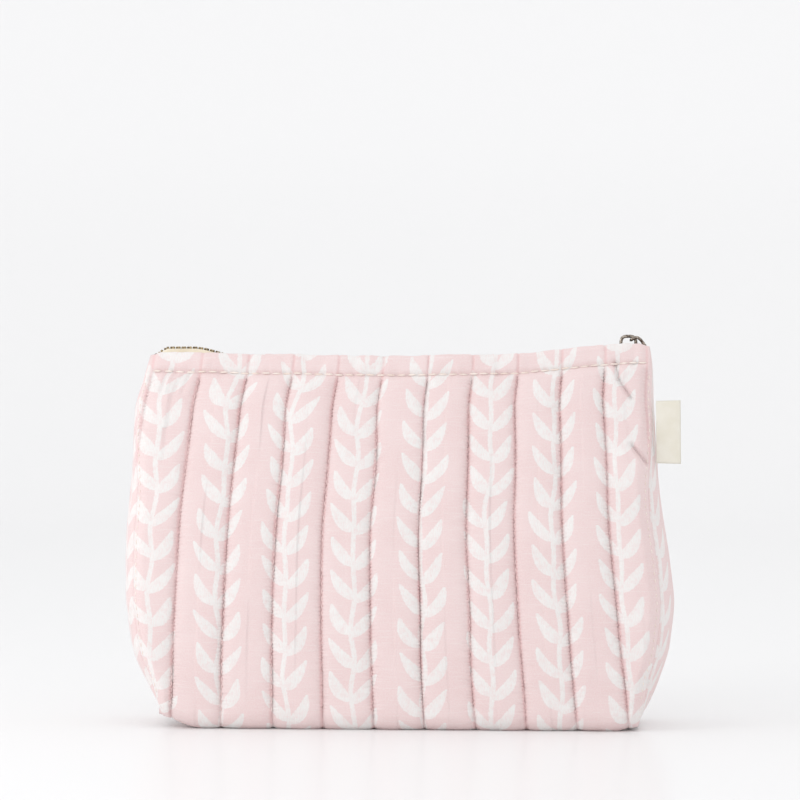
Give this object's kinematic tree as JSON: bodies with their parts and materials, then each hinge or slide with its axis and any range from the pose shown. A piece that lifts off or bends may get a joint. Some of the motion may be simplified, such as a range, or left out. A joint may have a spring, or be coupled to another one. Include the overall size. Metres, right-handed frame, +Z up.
{
  "type": "makeup bag",
  "caption": "Quilted cotton makeup bag with boxed base, metal zip across the top, and a folded cloth label in the right side seam.",
  "frame": {"origin": "centre of the underside of the base, on the surface the bag stands on", "axes": "+Z up, front wall faces -Y, +X along the zip towards its closed end"},
  "size_m": [0.2441, 0.062, 0.1714],
  "materials": {
    "printed_cotton": "matte print",
    "wadding": "matte",
    "lining_cotton": "matte",
    "thread": "matte",
    "zip_tape": "matte",
    "binding": "matte",
    "label_cloth": "satin",
    "dark_brass": "aged",
    "dark_metal": "gunmetal"
  },
  "bodies": {
    "root": {"base_lining": "lining_cotton", "base_outer": "printed_cotton", "base_wadding": "wadding", "left_back_binding": "binding", "left_front_binding": "binding", "left_gusset_lining": "lining_cotton", "left_gusset_outer": "printed_cotton", "left_gusset_wadding": "wadding", "left_zip_end": "zip_tape", "right_back_binding": "binding", "right_front_binding": "binding", "right_gusset_lining": "lining_cotton", "right_gusset_outer": "printed_cotton", "right_gusset_wadding": "wadding", "right_zip_end": "zip_tape", "zip_bottom_stop": "dark_brass"},
    "front_wall": {"front_lining": "lining_cotton", "front_outer": "printed_cotton", "front_quilt_thread": "thread", "front_top_stop": "dark_brass", "front_topstitch": "thread", "front_wadding": "wadding", "front_zip_tape": "zip_tape", "front_zip_teeth": "dark_brass"},
    "back_wall": {"back_lining": "lining_cotton", "back_outer": "printed_cotton", "back_quilt_thread": "thread", "back_top_stop": "dark_brass", "back_topstitch": "thread", "back_wadding": "wadding", "back_zip_tape": "zip_tape", "back_zip_teeth": "dark_brass"},
    "slider": {"slider_body": "dark_metal", "slider_crown": "dark_metal"},
    "pull": {"pull_ring": "dark_metal"},
    "label": {"side_label": "label_cloth"}
  },
  "joints": [
    {"name": "zip_slide", "type": "slide", "parent": "root", "child": "slider", "axis": [-1, 0, 0], "range_m": [0, 0.1971], "deforming": ["back_top_stop", "back_zip_tape", "back_zip_teeth", "front_top_stop", "front_zip_tape", "front_zip_teeth"]},
    {"name": "front_open", "type": "hinge", "parent": "root", "child": "front_wall", "pos_m": [0, -0.0285, 0.0015], "axis": [1, 0, 0], "range_deg": [0, 10.72]},
    {"name": "back_open", "type": "hinge", "parent": "root", "child": "back_wall", "pos_m": [0, 0.0285, 0.0015], "axis": [-1, 0, 0], "range_deg": [0, 10.72]},
    {"name": "ring_flip", "type": "hinge", "parent": "slider", "child": "pull", "pos_m": [0.1013, 0, 0.16905], "axis": [0, -1, 0], "range_deg": [0, 164]},
    {"name": "label_bend", "type": "hinge", "parent": "root", "child": "label", "pos_m": [0.11396, -0.01367, 0.129], "axis": [0, 0, 1], "range_deg": [-60, 60], "stiffness_Nm_per_rad": 0.0005}
  ],
  "couplings": [
    {"joint": "front_open", "follows": "zip_slide", "rad_per_m": 0.9479},
    {"joint": "back_open", "follows": "zip_slide", "rad_per_m": 0.9479}
  ]
}
